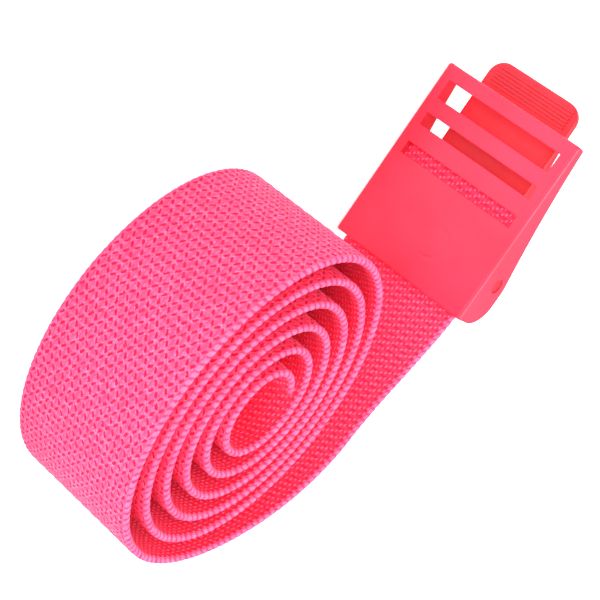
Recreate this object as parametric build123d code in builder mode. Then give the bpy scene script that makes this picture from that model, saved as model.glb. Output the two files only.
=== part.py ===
"""Gait belt: a webbing strap rolled into an oval coil, with a moulded cam buckle on its end.

Millimetres, +Z up. The belt lies on the edges of its webbing, so the coil's axis is vertical.
X runs from the buckle to the coil, and the buckle's plate faces -Y. The origin is under the
middle of the whole belt, at the height that it rests on.
"""

import os
from math import cos, exp, hypot, pi, radians, sin

from build123d import *

# Webbing
WEB_WIDTH = 50.8
WEB_THICK = 2.4

# Coil: an oval spiral. The turns are counted from where the straight tail joins it.
COIL_TURNS = 5.9
OUTER_TURN_END = 1.0
COIL_HALF_LENGTH = 59.1
COIL_HALF_WIDTH = 45.7
TURN_PITCH_LENGTH = 8.1
TURN_PITCH_WIDTH = 6.1
COIL_TILT = -4.6
FIRST_TURN_FLARE = 16.0
FIRST_TURN_SQUEEZE = 10.4
FLARE_FADES_OVER = 0.14
CENTRE_DRIFT = 0.33
COIL_POINTS_PER_TURN = 20

# Buckle body
PLATE_LENGTH = 67.4
PLATE_THICK = 2.6
WALL_THICK = 2.8
WALL_DEPTH_FRONT = 5.2
WALL_DEPTH_REAR = 16.75
WALL_REAR_LENGTH = 15.2
WALL_EDGE_HOLLOW = 1.35
WALL_REAR_RADIUS = 9.0
FRONT_WALL_STEP = 1.4
WEB_SIDE_GAP = 0.4
OUTER_EDGE_RADIUS = 1.5
FRONT_CORNER_RADIUS = 1.0
PLATE_REAR_RADIUS = 0.8

# Strap slots across the plate, measured back from its front edge
SLOT_STARTS = (5.3, 18.1, 29.4)
SLOT_WIDTHS = (7.0, 4.6, 4.5)
SLOT_EDGE_RADIUS = 0.35

# Strap inside the buckle
WEB_TO_PLATE_GAP = 0.3
WEB_TO_CAM_GAP = 0.3
WEB_END_SETBACK = 26.0
WEB_END_GAP = 1.0

# Cam lever
PIVOT_SETBACK = 51.9
PIVOT_DEPTH = 10.0
TRUNNION_RADIUS = 2.6
TRUNNION_CLEARANCE = 0.08
TRUNNION_RECESS = 0.4
HUB_TO_WEB_GAP = 1.0
HUB_SIDE_GAP = 0.4
CAM_NOSE_LEAD = 15.0
CAM_NOSE_SPREAD = 12.0
TOOTH_DEPTH = 0.7
ARM_WIDTH = 37.6
ARM_DEPTH = 8.0
ARM_THICK = 3.0
ARM_FLANGE_THICK = 2.4
ARM_FLANGE_HEIGHT = 3.0
ARM_FLANGE_START = 4.0
ARM_FLANGE_FULL = 20.0
TAB_REACH = 10.6
TAB_CORNER_RADIUS = 6.0
ARM_EDGE_RADIUS = 0.7
GRIP_RIDGES = 6
GRIP_RIDGE_WIDTH = 0.66
GRIP_RIDGE_PITCH = 1.22
GRIP_RIDGE_HEIGHT = 0.7
GRIP_START = 2.4
GRIP_INSET = 2.4

# Where the buckle stands against the coil's centre
COIL_TO_BUCKLE_FRONT = 117.4
COIL_TO_PLATE_FACE = 62.8

# Sizes that follow from those above
INNER_WIDTH = WEB_WIDTH + 2 * WEB_SIDE_GAP
BUCKLE_WIDTH = INNER_WIDTH + 2 * WALL_THICK
SLOT_LENGTH = INNER_WIDTH - 2 * FRONT_WALL_STEP
WEB_LIFT = WALL_THICK + WEB_SIDE_GAP
WEB_NEAR_DEPTH = PLATE_THICK + WEB_TO_PLATE_GAP
WEB_FAR_DEPTH = WEB_NEAR_DEPTH + WEB_THICK
WEB_MID_DEPTH = (WEB_NEAR_DEPTH + WEB_FAR_DEPTH) / 2
NOSE_RADIUS = (PIVOT_DEPTH - WEB_FAR_DEPTH - WEB_TO_CAM_GAP) / cos(radians(CAM_NOSE_LEAD - CAM_NOSE_SPREAD))
HUB_RADIUS = PIVOT_DEPTH - WEB_FAR_DEPTH - HUB_TO_WEB_GAP
TRUNNION_HOLE_RADIUS = TRUNNION_RADIUS + TRUNNION_CLEARANCE
HUB_WIDTH = INNER_WIDTH - 2 * HUB_SIDE_GAP
BUCKLE_MID_HEIGHT = BUCKLE_WIDTH / 2


def coil_centreline(turn):
    """Point on the middle line of the rolled strap, a number of turns in from the tail.

    Each turn is an oval whose half-length and half-width shrink evenly. The first part of the
    first turn is flared towards the tail, and this fades away quickly.
    """
    flare = exp(-((turn / FLARE_FADES_OVER) ** 2))
    half_length = COIL_HALF_LENGTH - TURN_PITCH_LENGTH * turn
    half_width = COIL_HALF_WIDTH - TURN_PITCH_WIDTH * turn - FIRST_TURN_SQUEEZE * flare
    angle = pi / 2 - 2 * pi * turn
    along, across = half_length * cos(angle), half_width * sin(angle)
    tilt = radians(COIL_TILT)
    centre_y = CENTRE_DRIFT * turn + (FIRST_TURN_FLARE + FIRST_TURN_SQUEEZE) * flare
    return (
        along * cos(tilt) - across * sin(tilt),
        centre_y + along * sin(tilt) + across * cos(tilt),
    )


def coil_direction(turn):
    """Unit vector along the strap at a turn."""
    step = 0.001
    before, after = coil_centreline(turn - step), coil_centreline(turn + step)
    dx, dy = after[0] - before[0], after[1] - before[1]
    length = hypot(dx, dy)
    return dx / length, dy / length


def coil_edge(turn, offset):
    """Point beside the middle line, offset square to it; positive is the coil's outer side."""
    x, y = coil_centreline(turn)
    dx, dy = coil_direction(turn)
    return x - dy * offset, y + dx * offset


def coil_outline(first, last):
    """Draws both faces and both ends of the rolled strap between two turn values."""
    count = round((last - first) * COIL_POINTS_PER_TURN)
    turns = [first + (last - first) * i / count for i in range(count + 1)]
    outer = [coil_edge(turn, WEB_THICK / 2) for turn in turns]
    inner = [coil_edge(turn, -WEB_THICK / 2) for turn in turns]
    Spline(*outer)
    Line(outer[-1], inner[-1])
    Spline(*inner)
    Line(inner[0], outer[0])


# The buckle's own corner: front edge, outer face of the plate, lower side
BUCKLE_X = -COIL_TO_BUCKLE_FRONT
BUCKLE_Y = COIL_TO_PLATE_FACE
SIDE_PLANE = Plane(origin=(BUCKLE_X, BUCKLE_Y, 0), x_dir=(1, 0, 0), z_dir=(0, 0, 1))
PLATE_PLANE = Plane(origin=(BUCKLE_X, BUCKLE_Y, 0), x_dir=(1, 0, 0), z_dir=(0, -1, 0))

with BuildPart() as strap_outer_turn:
    with BuildSketch(Plane.XY):
        with BuildLine():
            coil_outline(0, OUTER_TURN_END)
        make_face()
    extrude(amount=WEB_WIDTH)

with BuildPart() as strap_inner_turns:
    with BuildSketch(Plane.XY):
        with BuildLine():
            coil_outline(OUTER_TURN_END, COIL_TURNS)
        make_face()
    extrude(amount=WEB_WIDTH)

web_exit = (BUCKLE_X + PLATE_LENGTH, BUCKLE_Y + WEB_MID_DEPTH, WEB_LIFT + WEB_WIDTH / 2)
coil_start = (*coil_centreline(0), WEB_WIDTH / 2)
exit_plane = Plane(origin=web_exit, x_dir=(0, 1, 0), z_dir=(1, 0, 0))
start_direction = coil_direction(0)
start_plane = Plane(
    origin=coil_start,
    x_dir=(-start_direction[1], start_direction[0], 0),
    z_dir=(start_direction[0], start_direction[1], 0),
)

with BuildPart() as strap_tail:
    with BuildSketch(exit_plane):
        Rectangle(WEB_THICK, WEB_WIDTH)
    with BuildSketch(start_plane):
        Rectangle(WEB_THICK, WEB_WIDTH)
    loft(ruled=True)

with BuildPart() as strap_clamped_end:
    with BuildSketch(SIDE_PLANE.offset(WEB_LIFT)):
        with Locations(((WEB_END_SETBACK + PLATE_LENGTH) / 2, WEB_MID_DEPTH)):
            Rectangle(PLATE_LENGTH - WEB_END_SETBACK, WEB_THICK)
    extrude(amount=WEB_WIDTH)

with BuildPart() as buckle_body:
    with BuildSketch(SIDE_PLANE):
        with BuildLine():
            shoulder = (PLATE_LENGTH - WALL_REAR_LENGTH, WALL_DEPTH_REAR)
            hollow = (shoulder[0] / 2, (WALL_DEPTH_FRONT + WALL_DEPTH_REAR) / 2 - WALL_EDGE_HOLLOW)
            Polyline((0, WALL_DEPTH_FRONT), (0, 0), (PLATE_LENGTH, 0), (PLATE_LENGTH, WALL_DEPTH_REAR), shoulder)
            ThreePointArc(shoulder, hollow, (0, WALL_DEPTH_FRONT))
        side = make_face()
        fillet(side.vertices().group_by(Axis.Y)[-1], WALL_REAR_RADIUS)
    extrude(amount=BUCKLE_WIDTH)
    outer_edges = edges().filter_by(Axis.X).group_by(Axis.Y)[0]
    fillet(outer_edges, OUTER_EDGE_RADIUS)
    with BuildSketch(SIDE_PLANE.offset(WALL_THICK + FRONT_WALL_STEP)):
        with Locations((PLATE_LENGTH / 2, PLATE_THICK + WALL_DEPTH_REAR / 2)):
            Rectangle(2 * PLATE_LENGTH, WALL_DEPTH_REAR)
    extrude(amount=SLOT_LENGTH, mode=Mode.SUBTRACT)
    with BuildSketch(SIDE_PLANE.offset(WALL_THICK)):
        wide_from = WEB_END_SETBACK - WEB_END_GAP
        with Locations((wide_from + PLATE_LENGTH / 2, PLATE_THICK + WALL_DEPTH_REAR / 2)):
            Rectangle(PLATE_LENGTH, WALL_DEPTH_REAR)
    extrude(amount=INNER_WIDTH, mode=Mode.SUBTRACT)
    front_face_edges = edges().filter_by(Axis.Z).group_by(Axis.X)[0]
    fillet(front_face_edges.group_by(Axis.Y)[0], FRONT_CORNER_RADIUS)
    rear_face_edges = edges().filter_by(Axis.Z).group_by(Axis.X)[-1]
    fillet(rear_face_edges.group_by(Axis.Y)[0], PLATE_REAR_RADIUS)
    with BuildSketch(PLATE_PLANE):
        for start, width in zip(SLOT_STARTS, SLOT_WIDTHS):
            with Locations((start + width / 2, BUCKLE_MID_HEIGHT)):
                Rectangle(width, SLOT_LENGTH)
    extrude(amount=-PLATE_THICK, mode=Mode.SUBTRACT)
    plate_face = faces().filter_by(Plane.XZ).sort_by(Axis.Y)[0]
    for slot_rim in plate_face.inner_wires():
        fillet(slot_rim.edges(), SLOT_EDGE_RADIUS)
    with BuildSketch(SIDE_PLANE):
        with Locations((PIVOT_SETBACK, PIVOT_DEPTH)):
            Circle(TRUNNION_HOLE_RADIUS)
    extrude(amount=BUCKLE_WIDTH, mode=Mode.SUBTRACT)


def pivot_point(radius, degrees):
    """Point at a distance from the lever's pivot, at an angle from straight at the plate."""
    turn = radians(degrees)
    return PIVOT_SETBACK - radius * sin(turn), PIVOT_DEPTH - radius * cos(turn)


def nose_outline():
    """The toothed cam nose: three sharp teeth on an arc, drawn out of the hub."""
    first = CAM_NOSE_LEAD - CAM_NOSE_SPREAD
    step = CAM_NOSE_SPREAD
    points = [pivot_point(HUB_RADIUS - TOOTH_DEPTH, first - step)]
    for tooth in range(3):
        points.append(pivot_point(NOSE_RADIUS, first + tooth * step))
        points.append(pivot_point(NOSE_RADIUS - TOOTH_DEPTH, first + (tooth + 0.9) * step))
    points.append(pivot_point(0, 0))
    return points


with BuildPart() as cam_lever:
    with BuildSketch(SIDE_PLANE.offset(WALL_THICK + HUB_SIDE_GAP)):
        with Locations((PIVOT_SETBACK, PIVOT_DEPTH)):
            Circle(HUB_RADIUS)
        with BuildLine():
            Polyline(*nose_outline(), close=True)
        make_face()
    extrude(amount=HUB_WIDTH)
    with BuildSketch(SIDE_PLANE.offset(TRUNNION_RECESS)):
        with Locations((PIVOT_SETBACK, PIVOT_DEPTH)):
            Circle(TRUNNION_RADIUS)
    extrude(amount=BUCKLE_WIDTH - 2 * TRUNNION_RECESS)
    with BuildSketch(PLATE_PLANE.offset(-ARM_DEPTH)):
        with Locations(((PIVOT_SETBACK - TAB_REACH) / 2, BUCKLE_MID_HEIGHT)):
            Rectangle(PIVOT_SETBACK + TAB_REACH, ARM_WIDTH)
        fillet(vertices().group_by(Axis.X)[0], TAB_CORNER_RADIUS)
    extrude(amount=-ARM_THICK)
    arm_front = faces().sort_by(Axis.X)[0]
    fillet(arm_front.edges().filter_by(Axis.Z), ARM_EDGE_RADIUS)
    flange_root, flange_top = ARM_DEPTH + ARM_THICK, ARM_DEPTH + ARM_THICK + ARM_FLANGE_HEIGHT
    for flange_side in (-1, 1):
        flange_middle = BUCKLE_MID_HEIGHT + flange_side * (ARM_WIDTH - ARM_FLANGE_THICK) / 2
        with BuildSketch(SIDE_PLANE.offset(flange_middle - ARM_FLANGE_THICK / 2)):
            with BuildLine():
                Polyline(
                    (ARM_FLANGE_START, flange_root - ARM_THICK / 2),
                    (PIVOT_SETBACK, flange_root - ARM_THICK / 2),
                    (PIVOT_SETBACK, flange_top),
                    (ARM_FLANGE_FULL, flange_top),
                    (ARM_FLANGE_START, flange_root),
                    close=True,
                )
            make_face()
        extrude(amount=ARM_FLANGE_THICK)
    with BuildSketch(PLATE_PLANE.offset(-ARM_DEPTH)):
        first_ridge = GRIP_START - TAB_REACH
        for ridge in range(GRIP_RIDGES):
            with Locations((first_ridge + ridge * GRIP_RIDGE_PITCH, BUCKLE_MID_HEIGHT)):
                SlotOverall(ARM_WIDTH - 2 * GRIP_INSET, GRIP_RIDGE_WIDTH, rotation=90)
    extrude(amount=GRIP_RIDGE_HEIGHT)

pieces = {
    "strap_outer_turn": strap_outer_turn,
    "strap_inner_turns": strap_inner_turns,
    "strap_tail": strap_tail,
    "strap_clamped_end": strap_clamped_end,
    "buckle_body": buckle_body,
    "cam_lever": cam_lever,
}
whole = Compound([piece.part for piece in pieces.values()]).bounding_box()
to_origin = Location((-whole.center().X, -whole.center().Y, 0))

os.makedirs("parts", exist_ok=True)
for name, piece in pieces.items():
    piece.part.label = name
    export_step(piece.part.moved(to_origin), f"parts/{name}.step")

coil_length = sum(
    hypot(b[0] - a[0], b[1] - a[1])
    for a, b in zip(
        [coil_centreline(COIL_TURNS * i / 4000) for i in range(4000)],
        [coil_centreline(COIL_TURNS * (i + 1) / 4000) for i in range(4000)],
    )
)
tail_length = hypot(web_exit[0] - coil_start[0], web_exit[1] - coil_start[1])
strap_length = coil_length + tail_length + PLATE_LENGTH - WEB_END_SETBACK
print("strap length", round(strap_length, 1), "coil", round(coil_length, 1), "tail", round(tail_length, 1))
print("overall size", whole.size)
print("moved by", to_origin.position)
print("buckle front corner", BUCKLE_X + to_origin.position.X, BUCKLE_Y + to_origin.position.Y)
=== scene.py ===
"""Gait belt: a rolled webbing strap and its moulded cam buckle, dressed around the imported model.

The strap is one woven surface carried along a path: straight inside the buckle, a short tail,
and then an oval spiral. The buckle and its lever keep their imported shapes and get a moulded
plastic finish. Lengths are metres, and the belt lies on the edges of its webbing.
"""

import logging
import math
from dataclasses import dataclass, field
from enum import Enum

import bpy
import numpy as np
from mathutils import Matrix, Vector

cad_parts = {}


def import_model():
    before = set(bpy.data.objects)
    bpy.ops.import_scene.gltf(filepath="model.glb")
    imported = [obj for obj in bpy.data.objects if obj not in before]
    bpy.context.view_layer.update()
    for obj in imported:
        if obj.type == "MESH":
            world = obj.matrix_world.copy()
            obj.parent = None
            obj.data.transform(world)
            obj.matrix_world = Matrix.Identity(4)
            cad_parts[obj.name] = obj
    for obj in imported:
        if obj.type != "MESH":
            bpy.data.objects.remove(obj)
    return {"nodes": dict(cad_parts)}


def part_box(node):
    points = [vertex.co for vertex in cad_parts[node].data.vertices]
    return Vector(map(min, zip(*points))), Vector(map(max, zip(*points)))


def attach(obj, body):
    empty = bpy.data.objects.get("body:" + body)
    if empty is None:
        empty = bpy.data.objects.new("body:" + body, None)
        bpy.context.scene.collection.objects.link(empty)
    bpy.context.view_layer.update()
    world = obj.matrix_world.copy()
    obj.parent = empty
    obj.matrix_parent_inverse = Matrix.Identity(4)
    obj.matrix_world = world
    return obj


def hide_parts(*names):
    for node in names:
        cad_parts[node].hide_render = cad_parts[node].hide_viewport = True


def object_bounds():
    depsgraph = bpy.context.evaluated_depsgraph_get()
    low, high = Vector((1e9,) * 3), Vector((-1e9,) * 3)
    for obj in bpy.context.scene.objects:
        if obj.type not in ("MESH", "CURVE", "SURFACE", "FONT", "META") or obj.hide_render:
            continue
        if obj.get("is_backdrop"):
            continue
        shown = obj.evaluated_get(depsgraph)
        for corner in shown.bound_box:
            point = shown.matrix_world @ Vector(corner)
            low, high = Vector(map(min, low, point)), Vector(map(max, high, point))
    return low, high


LOG = logging.getLogger("gait_belt")
MM = 0.001

Colour = tuple[float, float, float]
Span = tuple[float, float]
Step = tuple[float, float, Span]
Socket = bpy.types.NodeSocket
FALLING = (1.0, 0.0)


class Face(Enum):
    """The parts of the webbing's surface, as the face attribute stores them."""

    OUTER = 1.0
    EDGE = 0.0
    INNER = -1.0


# ---------------------------------------------------------------- node graphs


@dataclass
class Graph:
    """A small helper that writes a material's node tree with arithmetic."""

    tree: bpy.types.NodeTree

    def node(self, kind: str, **settings: object) -> bpy.types.Node:
        """Adds a node and sets its plain properties.

        Args:
            kind: Blender's node type name.
            settings: property values to set on the node.

        Returns:
            The new node.
        """
        made = self.tree.nodes.new(kind)
        for name, value in settings.items():
            setattr(made, name, value)
        return made

    def wire(self, source: object, socket: Socket) -> None:
        """Feeds a socket from another socket, or sets its value.

        Args:
            source: a socket, or a number or colour.
            socket: the input to feed.
        """
        if isinstance(source, Socket):
            self.tree.links.new(source, socket)
        else:
            socket.default_value = source

    def math(self, operation: str, *values: object, clamp: bool = False) -> Socket:
        """One arithmetic step.

        Args:
            operation: the Math node's operation.
            values: up to three sockets or numbers.
            clamp: keeps the result between 0 and 1.

        Returns:
            The result's socket.
        """
        step = self.node("ShaderNodeMath", operation=operation, use_clamp=clamp)
        for value, socket in zip(values, step.inputs):
            self.wire(value, socket)
        return step.outputs[0]

    def ramp(self, value: object, low: float, high: float, to: Span = (0.0, 1.0)) -> Socket:
        """A smooth step.

        Args:
            value: what is ramped.
            low: where the step starts.
            high: where it ends.
            to: the values before and after it.

        Returns:
            The result's socket.
        """
        step = self.node("ShaderNodeMapRange", interpolation_type="SMOOTHSTEP")
        for socket, given in zip(step.inputs, (value, low, high, *to)):
            self.wire(given, socket)
        return step.outputs[0]

    def mix(self, share: object, first: object, second: object) -> Socket:
        """Mixes two colours.

        Args:
            share: how much of the second colour.
            first: a colour or socket.
            second: a colour or socket.

        Returns:
            The mixed colour's socket.
        """
        step = self.node("ShaderNodeMix", data_type="RGBA")
        self.wire(share, step.inputs[0])
        for given, socket in ((first, step.inputs[6]), (second, step.inputs[7])):
            self.wire((*given, 1.0) if isinstance(given, tuple) else given, socket)
        return step.outputs[2]

    def noise(self, vector: object, scale: float, detail: float = 2.0) -> Socket:
        """Smooth noise from 0 to 1.

        Args:
            vector: the coordinates' socket.
            scale: features per unit.
            detail: how many finer layers are added.

        Returns:
            The noise value's socket.
        """
        made = self.node("ShaderNodeTexNoise")
        self.wire(vector, made.inputs["Vector"])
        self.wire(scale, made.inputs["Scale"])
        self.wire(detail, made.inputs["Detail"])
        return made.outputs[0]

    def bump(self, height: object, distance: float, strength: float) -> Socket:
        """A bump, which shades the surface as if it stood out.

        Args:
            height: the height's socket, in units of distance.
            distance: how far one unit of height stands out.
            strength: the share of the effect.

        Returns:
            The normal's socket.
        """
        made = self.node("ShaderNodeBump")
        self.wire(strength, made.inputs["Strength"])
        self.wire(distance, made.inputs["Distance"])
        self.wire(height, made.inputs["Height"])
        return made.outputs[0]


def new_material(name: str) -> tuple[bpy.types.Material, Graph, bpy.types.Node]:
    """Makes an empty node material.

    Args:
        name: the finish's name.

    Returns:
        The material, its graph, and its main shader node.
    """
    material = bpy.data.materials.new(name)
    material.use_nodes = True
    graph = Graph(material.node_tree)
    shader = material.node_tree.nodes["Principled BSDF"]
    return material, graph, shader


# ---------------------------------------------------------------- finishes


@dataclass(frozen=True)
class Weave:
    """The repeats of the webbing's weave.

    Outside, ribs run across the strap. Between them lie short slanted dents, which lean one way
    and the other in turn, so that four of them are the sides of a diamond with a faint dash in
    its middle. Inside, short floats lie in slanted rows. Each rib ends in a rounded loop over the
    strap's edge.

    Lengths are metres and leans are angles. Each row of floats slips by float_slip of a rib, and
    edge_mark is the face value where an edge meets the outer face.
    """

    rib: float = 2.5 * MM
    row: float = 2.225 * MM
    dent_lean: float = math.radians(36.0)
    dent_half_length: float = 0.98 * MM
    dent_half_width: float = 0.42 * MM
    dash_half_length: float = 0.95 * MM
    dash_half_width: float = 0.20 * MM
    float_row: float = 0.6 * row
    float_slip: float = 1 / 3
    float_lean: float = math.radians(-15.0)
    float_half_length: float = 0.62 * MM
    float_half_width: float = 0.37 * MM
    loop_slant: float = 0.5 * MM
    edge_mark: float = 0.15
    seal: float = 1.6 * MM


@dataclass(frozen=True)
class WeaveMasks:
    """What the webbing's tones read at a shading point.

    u is the place along the strap in metres, side is the face value, and sway is noise around 0.
    The others are masks from 0 to 1.
    """

    u: Socket
    side: Socket
    sway: Socket
    uneven: Socket
    specks: Socket
    dent: Socket
    lip: Socket
    dash: Socket
    floating: Socket
    rib: Socket
    fibres: Socket


@dataclass(frozen=True)
class WebbingFinish:
    """Heavy pink polyester webbing, with a diamond weave outside and short floats inside.

    Scales are features per metre. A span is where a mask's smooth step starts and ends, and a
    step adds the values before and after it. Lights and highlights are shares of the lighter
    colour painted on as highlight, and heights and depths are in units of bump_height. Painted
    shade darkens the dents, the dashes and the pinches between edge loops, and a painted
    highlight lightens the lips, the ribs and the inner floats.
    """

    weave: Weave = Weave()
    body: Colour = (0.97, 0.046, 0.145)
    ground: Colour = (0.94, 0.022, 0.095)
    # painted highlight: the lighter colour laid on the outer face's raised lips and ribs
    crest_highlight: Colour = (1.0, 0.160, 0.330)
    # painted shade: the darker colour laid in the dents and, faintly, in the dashes
    dent: Colour = (0.88, 0.0040, 0.055)
    loop: Colour = (1.0, 0.132, 0.275)
    # painted shade: the darker colour in the creases between the edge loops
    pinch: Colour = (0.97, 0.030, 0.115)
    inner: Colour = (1.0, 0.013, 0.060)
    # painted highlight: the lighter colour laid on the inner face's raised floats and ribs
    inner_float_highlight: Colour = (1.0, 0.135, 0.265)
    sealed: Colour = (0.90, 0.030, 0.080)
    sheen_tint: Colour = (1.0, 0.66, 0.84)

    roughness: float = 0.55
    sealed_roughness: float = 0.28
    gloss: float = 0.12
    sheen: float = 0.05
    sheen_roughness: float = 0.40

    sway_scale: float = 900.0
    swing_scale: float = 1300.0
    speck_scale: float = 2300.0
    uneven_scale: float = 420.0
    thread_sway: float = 1.1 * MM
    thread_swing: float = 1.0 * MM
    loop_sway: float = 1.6 * MM
    fibres_along: float = 450.0
    fibres_across: float = 5200.0
    fibres_between_faces: float = 3.0
    fibre_detail: float = 3.0

    face_span: Span = (0.2, 0.7)
    dent_span: Span = (0.1, 1.9)
    lip_span: Span = (1.6, 4.6)
    dash_span: Span = (0.1, 1.4)
    float_span: Span = (0.2, 1.6)
    speck_span: Span = (0.46, 0.62)
    fray_span: Span = (0.42, 0.66)
    rib_flat: float = 0.15
    loop_flat: float = 0.18

    # shares of the painted highlight on lips and ribs, and of the specks that break it up
    lip_highlight: float = 0.62
    rib_highlight: float = 0.42
    speck_light: float = 0.9
    plain_light: float = 0.45
    # noise makes the painted highlight and the painted dent shade patchy
    patchy_highlight: Step = (0.25, 0.7, (0.35, 1.2))
    patchy_dent_shade: Step = (0.3, 0.6, (0.72, 1.0))
    ground_share: float = 0.38
    # share of the painted shade in the dashes
    dash_shade_share: float = 0.42
    # shares of the painted highlight on the inner face's floats and ribs
    float_highlight: float = 0.85
    inner_rib_highlight: float = 0.20
    fray_share: float = 0.35
    fibre_shade: Step = (0.3, 0.7, (0.86, 1.10))

    bump_height: float = 0.32 * MM
    lip_height: float = 0.35
    dash_depth: float = 0.35
    float_height: float = 0.9
    fibre_height: float = 0.30

    def oval_reach(self, g: Graph, along: object, across: object, half: Span) -> Socket:
        """How far out a point lies in an oval with long straight sides.

        Args:
            g: the material's graph.
            along: distance from the middle along the oval.
            across: distance from the middle across it.
            half: its half length and half width.

        Returns:
            The reach: 0 in the middle, 1 on the outline, and more outside.
        """
        end = g.math("DIVIDE", along, half[0])
        side = g.math("DIVIDE", across, half[1])
        end = g.math("MULTIPLY", end, end)
        return g.math("ADD", g.math("MULTIPLY", side, side), g.math("MULTIPLY", end, end))

    def nearest(self, g: Graph, value: object, pitch: float, shift: float = 0.0) -> tuple[Socket, Socket]:
        """The nearest point of a row of evenly spaced points.

        Args:
            g: the material's graph.
            value: a place, in metres.
            pitch: the spacing of the points.
            shift: how far the first point lies from zero, in pitches.

        Returns:
            The point's whole number, and the distance to it in metres.
        """
        steps = g.math("SUBTRACT", g.math("DIVIDE", value, pitch), shift)
        number = g.math("ROUND", steps)
        return number, g.math("MULTIPLY", g.math("SUBTRACT", steps, number), pitch)

    def leaning(self, g: Graph, x: object, y: object, lean: float) -> tuple[Socket, Socket]:
        """Turns a place by an angle.

        Args:
            g: the material's graph.
            x: its distance along the strap.
            y: its distance across the strap.
            lean: the angle of a leaning line.

        Returns:
            Its distances along and across the leaning line.
        """
        cos, sin = math.cos(lean), math.sin(lean)
        along = g.math("ADD", g.math("MULTIPLY", x, cos), g.math("MULTIPLY", y, sin))
        across = g.math("SUBTRACT", g.math("MULTIPLY", y, cos), g.math("MULTIPLY", x, sin))
        return along, across

    def dents(self, g: Graph, u: object, v: object) -> Socket:
        """The outer face's dents, which lean one way and the other in turn.

        Args:
            g: the material's graph.
            u: place along the strap.
            v: place across it.

        Returns:
            The reach from the nearest dent.
        """
        w = self.weave
        column, x = self.nearest(g, u, w.rib, 0.5)
        row, y = self.nearest(g, v, w.row, 0.5)
        odd = g.math("FLOORED_MODULO", g.math("ADD", column, row), 2.0)
        turned = g.math("MULTIPLY", y, g.math("SUBTRACT", g.math("MULTIPLY", odd, 2.0), 1.0))
        along, across = self.leaning(g, x, turned, w.dent_lean)
        return self.oval_reach(g, along, across, (w.dent_half_length, w.dent_half_width))

    def dashes(self, g: Graph, u: object, v: object) -> Socket:
        """A faint dash along the strap in the middle of each diamond.

        Args:
            g: the material's graph.
            u: place along the strap.
            v: place across it.

        Returns:
            The dashes' mask.
        """
        w = self.weave
        column, x = self.nearest(g, u, w.rib)
        row, y = self.nearest(g, v, w.row)
        even = g.math("SUBTRACT", 1.0, g.math("FLOORED_MODULO", g.math("ADD", column, row), 2.0))
        reach = self.oval_reach(g, x, y, (w.dash_half_length, w.dash_half_width))
        return g.math("MULTIPLY", g.ramp(reach, *self.dash_span, FALLING), even)

    def floats(self, g: Graph, u: object, v: object) -> Socket:
        """The inner face's floats, each row slipped along from the last.

        Args:
            g: the material's graph.
            u: place along the strap.
            v: place across it.

        Returns:
            The reach from the nearest float.
        """
        w = self.weave
        row, y = self.nearest(g, v, w.float_row)
        slipped = g.math("ADD", u, g.math("MULTIPLY", row, w.float_slip * w.rib))
        _, x = self.nearest(g, slipped, w.rib)
        along, across = self.leaning(g, x, y, w.float_lean)
        return self.oval_reach(g, along, across, (w.float_half_length, w.float_half_width))

    def fibres(self, g: Graph, u: object, v: object, side: object) -> Socket:
        """Long fine fibres along the strap, which differ from face to face.

        Args:
            g: the material's graph.
            u: place along the strap.
            v: place across it.
            side: the face value.

        Returns:
            Noise from 0 to 1.
        """
        threads = g.node("ShaderNodeCombineXYZ")
        scales = (self.fibres_along, self.fibres_across, self.fibres_between_faces)
        for place, scale, socket in zip((u, v, side), scales, threads.inputs):
            g.wire(g.math("MULTIPLY", place, scale), socket)
        return g.noise(threads.outputs[0], 1.0, self.fibre_detail)

    def masks(self, g: Graph) -> WeaveMasks:
        """Reads the piece's weave map and face attribute, and works out the weave's masks.

        The map's u is the place along the strap and its v the place across it, both in metres.

        Args:
            g: the material's graph.

        Returns:
            The masks.
        """
        w = self.weave
        split = g.node("ShaderNodeSeparateXYZ")
        g.wire(g.node("ShaderNodeUVMap", uv_map="weave").outputs[0], split.inputs[0])
        u, v = split.outputs[0], split.outputs[1]
        side = g.node("ShaderNodeAttribute", attribute_name="face").outputs["Fac"]
        metres = g.node("ShaderNodeTexCoord").outputs["Object"]
        sway = g.math("SUBTRACT", g.noise(metres, self.sway_scale), 0.5)
        swing = g.math("SUBTRACT", g.noise(metres, self.swing_scale), 0.5)
        u_thread = g.math("ADD", u, g.math("MULTIPLY", sway, self.thread_sway))
        v_thread = g.math("ADD", v, g.math("MULTIPLY", swing, self.thread_swing))
        reach = self.dents(g, u_thread, v_thread)
        dent = g.ramp(reach, *self.dent_span, FALLING)
        from_rib = g.math("ABSOLUTE", self.nearest(g, u, w.rib)[1])
        return WeaveMasks(
            u=u,
            side=side,
            sway=sway,
            uneven=g.noise(metres, self.uneven_scale),
            specks=g.ramp(g.noise(metres, self.speck_scale), *self.speck_span),
            dent=dent,
            lip=g.math("SUBTRACT", g.ramp(reach, *self.lip_span, FALLING), dent, clamp=True),
            dash=self.dashes(g, u, v),
            floating=g.ramp(self.floats(g, u_thread, v_thread), *self.float_span, FALLING),
            rib=g.ramp(from_rib, self.rib_flat * w.rib, w.rib / 2, FALLING),
            fibres=self.fibres(g, u, v, side),
        )

    def outer_tone(self, g: Graph, m: WeaveMasks) -> Socket:
        """The outer face's colour: a painted highlight on lips and ribs, painted shade in dents and dashes,
        and patchy in both.

        Args:
            g: the material's graph.
            m: the weave's masks.

        Returns:
            The colour's socket.
        """
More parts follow.
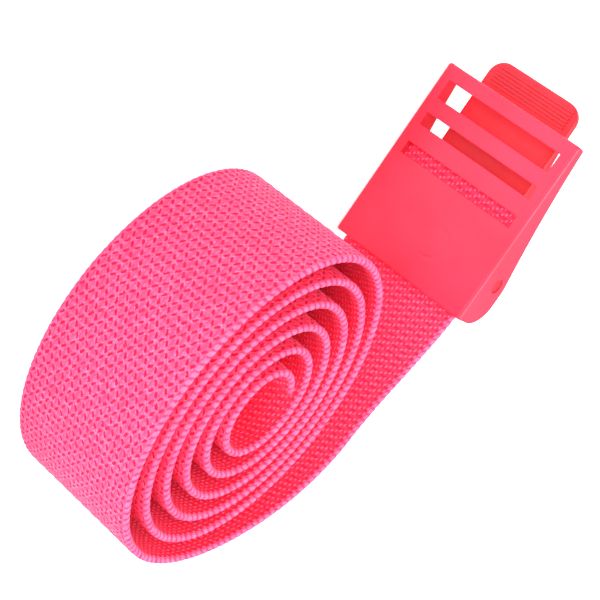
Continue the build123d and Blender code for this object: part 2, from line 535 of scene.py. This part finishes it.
        # painted highlight: lips and ribs are lightened towards the crest colour, patchy by noise and specks
        rib = g.math("MULTIPLY", m.rib, self.rib_highlight)
        raised = g.math("ADD", g.math("MULTIPLY", m.lip, self.lip_highlight), rib)
        patchy = g.math("MULTIPLY", raised, g.ramp(m.uneven, *self.patchy_highlight))
        grain = g.math("ADD", g.math("MULTIPLY", m.specks, self.speck_light), self.plain_light)
        light = g.math("MULTIPLY", patchy, grain, clamp=True)
        shade = g.math("MULTIPLY", g.math("SUBTRACT", 1.0, m.specks), self.ground_share)
        tone = g.mix(light, g.mix(shade, self.body, self.ground), self.crest_highlight)
        # painted shade: the dashes, and then the dents, are darkened towards the dent colour, the dents
        # patchily by noise
        tone = g.mix(g.math("MULTIPLY", m.dash, self.dash_shade_share), tone, self.dent)
        sunk_shade = g.math("MULTIPLY", m.dent, g.ramp(m.uneven, *self.patchy_dent_shade))
        return g.mix(sunk_shade, tone, self.dent)

    def inner_tone(self, g: Graph, m: WeaveMasks) -> Socket:
        """The inner face's colour: a painted highlight on floats and, faintly, on ribs.

        Args:
            g: the material's graph.
            m: the weave's masks.

        Returns:
            The colour's socket.
        """
        # painted highlight: floats and, faintly, ribs are lightened over the inner colour
        rib = g.math("MULTIPLY", m.rib, self.inner_rib_highlight)
        light = g.math("ADD", g.math("MULTIPLY", m.floating, self.float_highlight), rib, clamp=True)
        return g.mix(light, self.inner, self.inner_float_highlight)

    def edge_tone(self, g: Graph, m: WeaveMasks) -> Socket:
        """The edges' colour: light slanted loops, with painted shade in the pinches between them, and darker
        where frayed.

        Args:
            g: the material's graph.
            m: the weave's masks.

        Returns:
            The colour's socket.
        """
        w = self.weave
        slipped = g.math("ADD", m.u, g.math("MULTIPLY", m.side, w.loop_slant / w.edge_mark))
        slipped = g.math("ADD", slipped, g.math("MULTIPLY", m.sway, self.loop_sway))
        from_loop = g.math("ABSOLUTE", self.nearest(g, slipped, w.rib)[1])
        # painted shade: the pinch between two loops is darkened towards the pinch colour, with random fray
        # added
        crease_shade = g.ramp(from_loop, self.loop_flat * w.rib, w.rib / 2)
        frayed = g.math("MULTIPLY", g.ramp(m.uneven, *self.fray_span), self.fray_share)
        return g.mix(g.math("ADD", crease_shade, frayed, clamp=True), self.loop, self.pinch)

    def height(self, g: Graph, m: WeaveMasks, outside: Socket, inside: Socket) -> Socket:
        """How far the threads stand out.

        Args:
            g: the material's graph.
            m: the weave's masks.
            outside: 1 on the outer face.
            inside: 1 on the inner face.

        Returns:
            The height's socket, in units of bump_height.
        """
        outer = g.math("SUBTRACT", g.math("MULTIPLY", m.lip, self.lip_height), m.dent)
        outer = g.math("SUBTRACT", outer, g.math("MULTIPLY", m.dash, self.dash_depth))
        outer = g.math("MULTIPLY", outer, outside)
        inner = g.math("MULTIPLY", g.math("MULTIPLY", m.floating, self.float_height), inside)
        fibres = g.math("MULTIPLY", m.fibres, self.fibre_height)
        return g.math("ADD", g.math("ADD", outer, inner), fibres)

    def build(self) -> bpy.types.Material:
        """Builds the material, which tells the faces apart by the face attribute.

        Returns:
            The finished material.
        """
        material, g, shader = new_material("pink_webbing")
        m = self.masks(g)
        low, high = self.face_span
        outside = g.ramp(m.side, low, high)
        inside = g.ramp(m.side, -high, -low, FALLING)
        edge = g.math("SUBTRACT", 1.0, g.math("ADD", outside, inside), clamp=True)
        tone = g.mix(inside, self.outer_tone(g, m), self.inner_tone(g, m))
        tone = g.mix(edge, tone, self.edge_tone(g, m))
        seal = g.node("ShaderNodeAttribute", attribute_name="seal").outputs["Fac"]
        shaded = g.node("ShaderNodeHueSaturation")
        g.wire(g.ramp(m.fibres, *self.fibre_shade), shaded.inputs["Value"])
        g.wire(g.mix(seal, tone, self.sealed), shaded.inputs["Color"])
        g.wire(shaded.outputs[0], shader.inputs["Base Color"])
        height = self.height(g, m, outside, inside)
        g.wire(g.bump(height, self.bump_height, 1.0), shader.inputs["Normal"])
        g.wire(g.ramp(seal, 0.0, 1.0, (self.roughness, self.sealed_roughness)), shader.inputs["Roughness"])
        g.wire(self.gloss, shader.inputs["Specular IOR Level"])
        g.wire(self.sheen, shader.inputs["Sheen Weight"])
        g.wire(self.sheen_roughness, shader.inputs["Sheen Roughness"])
        g.wire((*self.sheen_tint, 1.0), shader.inputs["Sheen Tint"])
        return material


@dataclass(frozen=True)
class PlasticFinish:
    """Satin moulded plastic with a faint skin texture and, where a gate is given, its vestige.

    Scales are features per metre. Heights and depths are in units of bump_height.
    """

    name: str
    tone: Colour = (0.90, 0.031, 0.072)
    deep: Colour = (0.84, 0.023, 0.056)
    roughness: float = 0.38
    smoother: float = 0.05
    rougher: float = 0.07
    gloss: float = 0.22
    flow_scale: float = 38.0
    skin_scale: float = 2600.0
    patch_scale: float = 120.0
    flow_span: Span = (0.3, 0.75)
    cloud_span: Span = (0.4, 1.1)
    patch_span: Span = (0.44, 0.62)
    bump_height: float = 0.05 * MM
    bump_strength: float = 0.7
    skin_height: float = 0.25
    gate: tuple[float, float, float] | None = None
    gate_radius: float = 5.5 * MM
    gate_span: Span = (0.2 * MM, 1.2 * MM)
    gate_depth: float = 2.5

    def vestige(self, g: Graph, metres: object) -> Socket:
        """The broken ring that a moulding's gate leaves.

        Args:
            g: the material's graph.
            metres: the place, as Object coordinates.

        Returns:
            How deep the ring is.
        """
        away = g.node("ShaderNodeVectorMath", operation="DISTANCE")
        g.wire(metres, away.inputs[0])
        g.wire(self.gate, away.inputs[1])
        ring = g.math("ABSOLUTE", g.math("SUBTRACT", away.outputs["Value"], self.gate_radius))
        mark = g.ramp(ring, *self.gate_span, FALLING)
        patchy = g.ramp(g.noise(metres, self.patch_scale), *self.patch_span)
        return g.math("MULTIPLY", g.math("MULTIPLY", mark, patchy), self.gate_depth)

    def build(self) -> bpy.types.Material:
        """Builds the material from Object coordinates.

        Returns:
            The finished material.
        """
        material, g, shader = new_material(self.name)
        metres = g.node("ShaderNodeTexCoord").outputs["Object"]
        flow = g.noise(metres, self.flow_scale, 3.0)
        skin = g.noise(metres, self.skin_scale)
        tone = g.mix(g.ramp(flow, *self.flow_span), self.tone, self.deep)
        g.wire(tone, shader.inputs["Base Color"])
        cloud = g.math("ADD", flow, g.math("MULTIPLY", skin, 0.5))
        rough = (self.roughness - self.smoother, self.roughness + self.rougher)
        g.wire(g.ramp(cloud, *self.cloud_span, rough), shader.inputs["Roughness"])
        height = g.math("MULTIPLY", skin, self.skin_height)
        if self.gate is not None:
            height = g.math("SUBTRACT", height, self.vestige(g, metres))
        g.wire(g.bump(height, self.bump_height, self.bump_strength), shader.inputs["Normal"])
        g.wire(self.gloss, shader.inputs["Specular IOR Level"])
        return material


# ---------------------------------------------------------------- meshes


def make_object(name: str, points: np.ndarray, faces: np.ndarray) -> bpy.types.Object:
    """Puts whole arrays of points and four-sided faces into a new mesh object, shaded smoothly.

    Args:
        name: the piece's name.
        points: n by 3 array of places, in metres.
        faces: m by 4 array of point numbers, anticlockwise seen from outside.

    Returns:
        The new object, linked to the scene.
    """
    mesh = bpy.data.meshes.new(name)
    count = len(faces)
    mesh.vertices.add(len(points))
    mesh.vertices.foreach_set("co", points.astype(np.float32).ravel())
    mesh.loops.add(4 * count)
    mesh.loops.foreach_set("vertex_index", faces.astype(np.int32).ravel())
    mesh.polygons.add(count)
    mesh.polygons.foreach_set("loop_start", np.arange(0, 4 * count, 4, dtype=np.int32))
    mesh.update(calc_edges=True)
    mesh.validate()
    mesh.polygons.foreach_set("use_smooth", np.full(len(mesh.polygons), True))
    made = bpy.data.objects.new(name, mesh)
    bpy.context.scene.collection.objects.link(made)
    return made


def smooth_line(values: np.ndarray, reach: int) -> np.ndarray:
    """Averages each value with its neighbours, so that corners become short bends.

    Args:
        values: n by k array along a path.
        reach: how many neighbours on each side are averaged.

    Returns:
        The smoothed array, of the same length and with the same ends.
    """
    weights = np.hanning(2 * reach + 3)[1:-1]
    weights = weights / weights.sum()
    head = 2 * values[0] - values[reach:0:-1]
    tail = 2 * values[-1] - values[-2 : -reach - 2 : -1]
    padded = np.concatenate([head, values, tail])
    return np.stack([np.convolve(column, weights, mode="valid") for column in padded.T], 1)


# ---------------------------------------------------------------- the strap


@dataclass
class StrapPath:
    """Where the strap's middle line runs, from its end in the buckle to its end in the coil.

    The coil is an oval spiral: each turn's half-length and half-width shrink evenly, and the
    start of the first turn is flared towards the tail.
    """

    buckle_low: Vector
    buckle_high: Vector
    end_low: Vector
    turns: float = 5.9
    half_length: float = 59.1 * MM
    half_width: float = 45.7 * MM
    pitch_length: float = 8.1 * MM
    pitch_width: float = 6.1 * MM
    tilt: float = math.radians(-4.6)
    flare: float = 16.0 * MM
    squeeze: float = 10.4 * MM
    flare_fades_over: float = 0.14
    centre_drift: float = 0.33 * MM
    coil_to_buckle_front: float = 117.4 * MM
    coil_to_plate_face: float = 62.8 * MM
    thickness: float = 2.4 * MM
    spacing: float = 0.1 * MM
    coil_points: int = 24000
    bend_reach: int = 45
    place: np.ndarray = field(init=False)
    side: np.ndarray = field(init=False)
    length: float = field(init=False)
    coil_at: float = field(init=False)
    first_turn_ends: float = field(init=False)

    def __post_init__(self) -> None:
        """Works out the line and its sideways direction at even steps along the strap."""
        turn = np.linspace(0.0, self.turns, self.coil_points)
        coil = self.coil(turn)
        start_x, exit_x = self.end_low.x, self.buckle_high.x
        middle_y = self.end_low.y + self.thickness / 2
        straight = np.array([[start_x, middle_y], [exit_x, middle_y]])
        line = np.concatenate([straight, coil])
        steps = np.concatenate([[0.0], np.cumsum(np.hypot(*np.diff(line, axis=0).T))])
        even = np.arange(0.0, steps[-1], self.spacing)
        flat = np.stack([np.interp(even, steps, column) for column in line.T], 1)
        flat = smooth_line(flat, self.bend_reach)
        ahead = np.gradient(flat, axis=0)
        ahead /= np.linalg.norm(ahead, axis=1)[:, None]
        self.side = np.stack([-ahead[:, 1], ahead[:, 0]], 1)
        exit_at, self.coil_at = steps[1], steps[2]
        lift = self.end_low.z * (1.0 - self.ease((even - exit_at) / (self.coil_at - exit_at)))
        self.place = np.concatenate([flat, lift[:, None]], 1)
        self.length = float(even[-1])
        self.first_turn_ends = float(np.interp(1.0, turn, steps[2:]))

    @staticmethod
    def ease(share: np.ndarray) -> np.ndarray:
        """A smooth step from 0 to 1.

        Args:
            share: how far along the step, held between 0 and 1.

        Returns:
            The step's value.
        """
        share = np.clip(share, 0.0, 1.0)
        return share * share * (3.0 - 2.0 * share)

    def coil(self, turn: np.ndarray) -> np.ndarray:
        """Points of the spiral.

        Args:
            turn: how many turns in from the tail.

        Returns:
            n by 2 array of places.
        """
        flare = np.exp(-((turn / self.flare_fades_over) ** 2))
        length = self.half_length - self.pitch_length * turn
        width = self.half_width - self.pitch_width * turn - self.squeeze * flare
        angle = math.pi / 2 - 2 * math.pi * turn
        along, across = length * np.cos(angle), width * np.sin(angle)
        centre_x = self.buckle_low.x + self.coil_to_buckle_front
        centre_y = self.buckle_low.y - self.coil_to_plate_face
        drift = self.centre_drift * turn + (self.flare + self.squeeze) * flare
        cos, sin = math.cos(self.tilt), math.sin(self.tilt)
        x = centre_x + along * cos - across * sin
        y = centre_y + drift + along * sin + across * cos
        return np.stack([x, y], 1)

    def at(self, distance: np.ndarray) -> tuple[np.ndarray, np.ndarray]:
        """Place and sideways direction at distances along the strap.

        Args:
            distance: metres from the end in the buckle.

        Returns:
            n by 3 places of the lower edge's middle, and n by 2 directions to the outer side.
        """
        index = np.clip(distance / self.spacing, 0, len(self.place) - 1)
        grid = np.arange(len(self.place))
        place = np.stack([np.interp(index, grid, column) for column in self.place.T], 1)
        side = np.stack([np.interp(index, grid, column) for column in self.side.T], 1)
        return place, side / np.linalg.norm(side, axis=1)[:, None]


@dataclass
class Webbing:
    """The strap's woven surface: a flat section with looped edges, carried along the path.

    The loops' heights wander over wander_ribs ribs. A cut end is melted together over the
    weave's seal, which takes off melted_share of the relief, and its faces draw in towards it.
    """

    path: StrapPath
    finish: WebbingFinish = WebbingFinish()
    width: float = 50.8 * MM
    edge_steps: int = 8
    rib_height: float = 0.10 * MM
    inner_rib_share: float = 0.4
    diamond_height: float = 0.06 * MM
    dent_depth: float = 0.25 * MM
    float_height: float = 0.18 * MM
    loop_height: float = 0.26 * MM
    loop_fullness: float = 0.8
    loop_middle: float = 0.62
    loop_wander: float = 0.25
    wander_ribs: Span = (3.7, 9.1)
    wander_phase: float = 1.0
    seal_start: float = 1.5
    melted_share: float = 0.7
    end_draw_in: float = 0.85
    row_steps: int = 5
    fine_steps: int = 6
    plain_steps: int = 4
    material: bpy.types.Material = field(init=False)

    def __post_init__(self) -> None:
        """Builds the finish once for all of the strap's pieces."""
        self.material = self.finish.build()

    def section(self, step: float) -> tuple[np.ndarray, np.ndarray, np.ndarray]:
        """The closed outline of the webbing: up the outer face, over, down the inner face, under.

        The faces are flat, and each edge is a half circle.

        Args:
            step: the spacing of points on the faces.

        Returns:
            Place across the strap from its middle, offset to the outer side, and the face value
            of each point.
        """
        round_off = self.path.thickness / 2
        flat = self.width / 2 - round_off
        count = int(flat / step)
        rise = np.arange(-count, count + 1) * step
        turn = np.linspace(0.0, math.pi, self.edge_steps + 1)[1:-1]
        beyond, lean = flat + round_off * np.sin(turn), round_off * np.cos(turn)
        across = np.concatenate([rise, beyond, rise[::-1], -beyond])
        sides = np.full(len(rise), round_off)
        offset = np.concatenate([sides, lean, -sides, -lean])
        face = np.select(
            [np.abs(across) > flat, offset > 0],
            [Face.EDGE.value + self.finish.weave.edge_mark * offset / round_off, Face.OUTER.value],
            Face.INNER.value,
        )
        return across, offset, face

    @staticmethod
    def oval(along: np.ndarray, across: np.ndarray, half_length: float, half_width: float) -> np.ndarray:
        """A soft oval bump: the bell curve of the distances along and across it.

        Args:
            along: distances from its middle along it.
            across: distances from its middle across it.
            half_length: its half length.
            half_width: its half width.

        Returns:
            Its heights: 1 in the middle, and nearly 0 well outside.
        """
        return np.exp(-((along / half_length) ** 2) - (across / half_width) ** 2)

    def relief(self, along: np.ndarray, across: np.ndarray, face: np.ndarray) -> np.ndarray:
        """How far the surface stands out from the plain section.

        Outside: a cosine along the strap makes the ribs, a product of cosines makes the
        diamonds, and a bell curve sinks each leaning dent. Inside: a bell curve raises each
        float. On the edges, the size of a cosine along the strap makes a rounded loop at each
        rib, with a sharp pinch between loops. The loops slant round the edge, and two slow sines
        make them a little uneven.

        Args:
            along: n by 1 distances along the strap.
            across: 1 by m places across it.
            face: 1 by m face values.

        Returns:
            n by m array of heights.
        """
        w = self.finish.weave
        column, row = np.round(along / w.rib - 0.5), np.round(across / w.row - 0.5)
        x, y = along - (column + 0.5) * w.rib, across - (row + 0.5) * w.row
        y = y * np.where((column + row) % 2 == 1, 1.0, -1.0)
        cos, sin = math.cos(w.dent_lean), math.sin(w.dent_lean)
        dents = self.oval(x * cos + y * sin, y * cos - x * sin, w.dent_half_length, w.dent_half_width)
        rib = np.cos(2 * math.pi * along / w.rib) + 0 * across
        diamond = np.cos(math.pi * along / w.rib) * np.cos(math.pi * across / w.row)
        outer = self.rib_height * rib + self.diamond_height * diamond - self.dent_depth * dents

        line = np.round(across / w.float_row)
        slipped = along + line * w.float_slip * w.rib
        x, y = slipped - np.round(slipped / w.rib) * w.rib, across - line * w.float_row
        cos, sin = math.cos(w.float_lean), math.sin(w.float_lean)
        floats = self.oval(x * cos + y * sin, y * cos - x * sin, w.float_half_length, w.float_half_width)
        inner = self.float_height * floats + self.inner_rib_share * self.rib_height * rib

        slipped = along + w.loop_slant * face / w.edge_mark + 0 * across
        loops = np.abs(np.cos(math.pi * slipped / w.rib)) ** self.loop_fullness - self.loop_middle
        quick, slow = (2 * math.pi * along / (ribs * w.rib) for ribs in self.wander_ribs)
        wander = np.sin(quick) * np.sin(slow + self.wander_phase)
        loops = loops * self.loop_height * (1.0 + self.loop_wander * wander)
        return np.select([face > 0.5, face < -0.5], [outer, inner], loops)

    def strip(self, name: str, first: float, last: float, steps: int) -> bpy.types.Object:
        """One closed stretch of the strap.

        Args:
            name: the piece's name.
            first: where it starts along the strap.
            last: where it ends.
            steps: how many grid steps each rib gets.

        Returns:
            The new object.
        """
        w = self.finish.weave
        across, offset, face = self.section(w.row / self.row_steps)
        along = np.linspace(first, last, int(round((last - first) / w.rib * steps)) + 1)
        place, side = self.path.at(along)
        from_end = np.minimum(along, self.path.length - along)
        seal = np.clip(self.seal_start - from_end / w.seal, 0.0, 1.0)
        raised = self.relief(along[:, None], across[None, :], face[None, :])
        raised = raised * (1.0 - self.melted_share * seal[:, None])
        round_off = self.path.thickness / 2
        into_end = np.clip(1.0 - from_end / round_off, 0.0, self.end_draw_in)
        rounding = np.sqrt(1.0 - into_end**2)[:, None]
        lean = offset / round_off
        upright = np.sign(across) * np.sqrt(1.0 - lean**2)
        out = (offset + raised * lean) * rounding
        up = self.width / 2 + across + raised * upright
        points = np.empty((len(along), len(across), 3))
        points[:, :, :2] = place[:, None, :2] + side[:, None, :] * out[:, :, None]
        points[:, :, 2] = place[:, 2:3] + np.clip(up, 0.0, None)
        return self.closed_grid(name, points, along, across, face, seal)

    def closed_grid(
        self,
        name: str,
        points: np.ndarray,
        along: np.ndarray,
        across: np.ndarray,
        face: np.ndarray,
        seal: np.ndarray,
    ) -> bpy.types.Object:
        """Joins the section's rows into a tube, and closes both of its ends.

        Args:
            name: the piece's name.
            points: rows by section array of places.
            along: distance of each row.
            across: place of each column across the weave.
            face: face value of each column.
            seal: how far each row is melted together by the hot cut.

        Returns:
            The new object, with its weave map and its face and seal attributes.
        """
        rows, columns = points.shape[:2]
        index = np.arange(rows * columns).reshape(rows, columns)
        beside = np.roll(index, -1, axis=1)
        body = np.stack([index[:-1], beside[:-1], beside[1:], index[1:]], -1).reshape(-1, 4)
        # An end cap joins each point of the outline to the one straight across the thickness,
        # and its faces point back along the strap at the first row and ahead at the last.
        top_middle = columns // 2 - self.edge_steps // 2
        reach = np.arange(columns // 2)
        fore, aft = (top_middle - reach) % columns, (top_middle + 1 + reach) % columns
        cap = np.stack([fore[:-1], fore[1:], aft[1:], aft[:-1]], -1)
        faces = np.concatenate([body, index[0][cap], index[-1][cap[:, ::-1]]])
        made = make_object(name, points.reshape(-1, 3), faces)
        mesh = made.data
        corner = np.zeros(len(mesh.loops), np.int32)
        mesh.loops.foreach_get("vertex_index", corner)
        place = np.stack([np.repeat(along, columns), np.tile(across, rows)], 1)
        layer = mesh.uv_layers.new(name="weave")
        layer.data.foreach_set("uv", place[corner].astype(np.float32).ravel())
        side = mesh.attributes.new("face", "FLOAT", "POINT")
        side.data.foreach_set("value", np.tile(face, rows).astype(np.float32))
        melted = mesh.attributes.new("seal", "FLOAT", "POINT")
        melted.data.foreach_set("value", np.repeat(seal, columns).astype(np.float32))
        mesh.materials.append(self.material)
        return made

    def cuts(self) -> list[tuple[str, float, float, int, list[str]]]:
        """Where the strap is cut into pieces, always on a rib.

        Returns:
            Name, start, end, grid steps and replaced nodes of each piece.
        """
        rib = self.finish.weave.rib
        coil, inner, last = self.path.coil_at, self.path.first_turn_ends, self.path.length
        stretches = [
            ("webbing_tail", 0.0, coil, 1, self.fine_steps, ["strap_tail", "strap_clamped_end"]),
            ("webbing_outer_turn", coil, inner, 3, self.fine_steps, ["strap_outer_turn"]),
            ("webbing_inner_turns", inner, last, 4, self.plain_steps, ["strap_inner_turns"]),
        ]
        found = []
        for name, first, end, parts, steps, nodes in stretches:
            marks = np.round(np.linspace(first, end, parts + 1) / rib) * rib
            for number in range(parts):
                label = name if parts == 1 else f"{name}_{number + 1}"
                found.append((label, marks[number], marks[number + 1], steps, nodes))
        return found

    def build(self) -> None:
        """Builds the strap's pieces, from the buckle to the middle of the coil."""
        for name, first, last, steps, nodes in self.cuts():
            piece = self.strip(name, first, last, steps)
            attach(piece, "strap")
            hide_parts(*nodes)
            LOG.info("%s: %.0f mm, %d faces", name, (last - first) / MM, len(piece.data.polygons))


@dataclass
class Buckle:
    """The moulded buckle body and its cam lever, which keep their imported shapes."""

    nodes: dict[str, bpy.types.Object]
    gate_along: float = 52.0 * MM
    gate_up: float = 5.0 * MM
    # painted shade: the lever's plastic is darker than the body's to stand in for the shade deep in the
    # buckle
    lever_shade_tone: Colour = (0.70, 0.019, 0.036)
    lever_shade_deep: Colour = (0.62, 0.012, 0.026)

    def build(self) -> None:
        """Gives both mouldings their plastic, the lever's darker as painted shade for its place deep in the
        buckle, with the gate's vestige on the plate's face.
        """
        low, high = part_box("buckle_body")
        gate = (low.x + self.gate_along, low.y, (low.z + high.z) / 2 + self.gate_up)
        body = PlasticFinish("buckle_plastic", gate=gate).build()
        lever = PlasticFinish("lever_plastic", self.lever_shade_tone, self.lever_shade_deep).build()
        for node, finish in (("buckle_body", body), ("cam_lever", lever)):
            piece = self.nodes[node]
            piece.data.materials.clear()
            piece.data.materials.append(finish)
            LOG.info("%s: %d faces", node, len(piece.data.polygons))


# ---------------------------------------------------------------- the studio


@dataclass(frozen=True)
class Lamp:
    """A large soft square lamp, placed from the belt's middle. Its power is in watts."""

    name: str
    place: tuple[float, float, float]
    size: float
    power: float


@dataclass
class Studio:
    """The floor, the soft lights and the camera."""

    azimuth: float = math.radians(-8.78)
    elevation: float = math.radians(29.24)
    roll: float = math.radians(128.81)
    distance: float = 566.6 * MM
    lens: float = 102.0
    sensor: float = 36.0
    clip: Span = (0.01, 20.0)
    world_strength: float = 0.64
    floor_half: float = 3.0
    floor_tones: tuple[Colour, Colour] = ((0.93, 0.93, 0.93), (0.95, 0.95, 0.95))
    floor_scale: float = 6.0
    floor_roughness: float = 0.9
    floor_glow: float = 0.5
    lamps: tuple[Lamp, ...] = (
        Lamp("key", (0.85, -0.75, 0.50), 0.6, 12.0),
        Lamp("overhead", (-0.15, 0.45, 1.05), 0.7, 18.0),
        Lamp("front", (-0.25, -0.95, 0.75), 0.7, 9.0),
    )
    from_buckle: Vector = field(default_factory=lambda: Vector((93.1, -10.0, 10.4)) * MM)

    def camera(self, corner: Vector) -> None:
        """Makes the camera, which looks at a point set out from the buckle's front corner.

        Args:
            corner: the buckle's lowest corner.
        """
        back = Vector((
            math.sin(self.azimuth) * math.cos(self.elevation),
            -math.cos(self.azimuth) * math.cos(self.elevation),
            math.sin(self.elevation),
        ))
        level = (-back).cross(Vector((0, 0, 1))).normalized()
        upright = level.cross(-back)
        cos, sin = math.cos(self.roll), math.sin(self.roll)
        right, up = cos * level + sin * upright, cos * upright - sin * level
        turned = Matrix((right, up, back)).transposed().to_4x4()
        data = bpy.data.cameras.new("camera")
        data.lens, data.sensor_width = self.lens, self.sensor
        data.clip_start, data.clip_end = self.clip
        camera = bpy.data.objects.new("camera", data)
        camera.matrix_world = Matrix.Translation(corner + self.from_buckle + back * self.distance) @ turned
        bpy.context.scene.collection.objects.link(camera)
        bpy.context.scene.camera = camera

    def light(self, lamp: Lamp, target: Vector) -> None:
        """Makes a lamp.

        Args:
            lamp: which lamp.
            target: what it points at.
        """
        data = bpy.data.lights.new(lamp.name, "AREA")
        data.shape, data.size, data.energy = "SQUARE", lamp.size, lamp.power
        made = bpy.data.objects.new(lamp.name, data)
        made.location = target + Vector(lamp.place)
        made.rotation_mode = "QUATERNION"
        made.rotation_quaternion = (-Vector(lamp.place)).to_track_quat("-Z", "Y")
        bpy.context.scene.collection.objects.link(made)

    def floor(self, height: float) -> None:
        """A wide pale floor.

        Args:
            height: how high it lies.
        """
        side = np.linspace(-self.floor_half, self.floor_half, 5)
        x, y = np.meshgrid(side, side, indexing="ij")
        points = np.stack([x.ravel(), y.ravel(), np.full(x.size, height)], 1)
        index = np.arange(x.size).reshape(x.shape)
        faces = np.stack([index[:-1, :-1], index[1:, :-1], index[1:, 1:], index[:-1, 1:]], -1).reshape(-1, 4)
        made = make_object("floor", points, faces)
        material, g, shader = new_material("pale_floor")
        metres = g.node("ShaderNodeTexCoord").outputs["Object"]
        tone = g.mix(g.noise(metres, self.floor_scale), *self.floor_tones)
        g.wire(tone, shader.inputs["Base Color"])
        g.wire(self.floor_roughness, shader.inputs["Roughness"])
        shader.inputs["Emission Color"].default_value = (1.0, 1.0, 1.0, 1.0)
        g.wire(self.floor_glow, shader.inputs["Emission Strength"])
        made.data.materials.append(material)
        made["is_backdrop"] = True

    def build(self, low: Vector, high: Vector, corner: Vector) -> None:
        """Sets up everything round the object.

        Args:
            low: the object's lowest corner.
            high: its highest corner.
            corner: the buckle's lowest corner.
        """
        centre = (low + high) / 2
        self.floor(low.z)
        for lamp in self.lamps:
            self.light(lamp, centre)
        world = bpy.data.worlds.new("studio")
        world.use_nodes = True
        background = world.node_tree.nodes["Background"]
        background.inputs[0].default_value = (1.0, 1.0, 1.0, 1.0)
        background.inputs[1].default_value = self.world_strength
        bpy.context.scene.world = world
        bpy.context.scene.view_settings.view_transform = "Standard"
        self.camera(corner)


def main() -> None:
    """Builds the strap, dresses the buckle and sets up the studio."""
    logging.basicConfig(level=logging.INFO, format="%(name)s %(message)s")
    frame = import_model()
    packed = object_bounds()
    buckle_low, buckle_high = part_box("buckle_body")
    end_low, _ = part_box("strap_clamped_end")
    path = StrapPath(buckle_low, buckle_high, end_low)
    LOG.info("strap %.0f mm long", path.length / MM)
    Studio().build(*packed, buckle_low)
    Webbing(path).build()
    Buckle(frame["nodes"]).build()


if __name__ == "__main__":
    main()
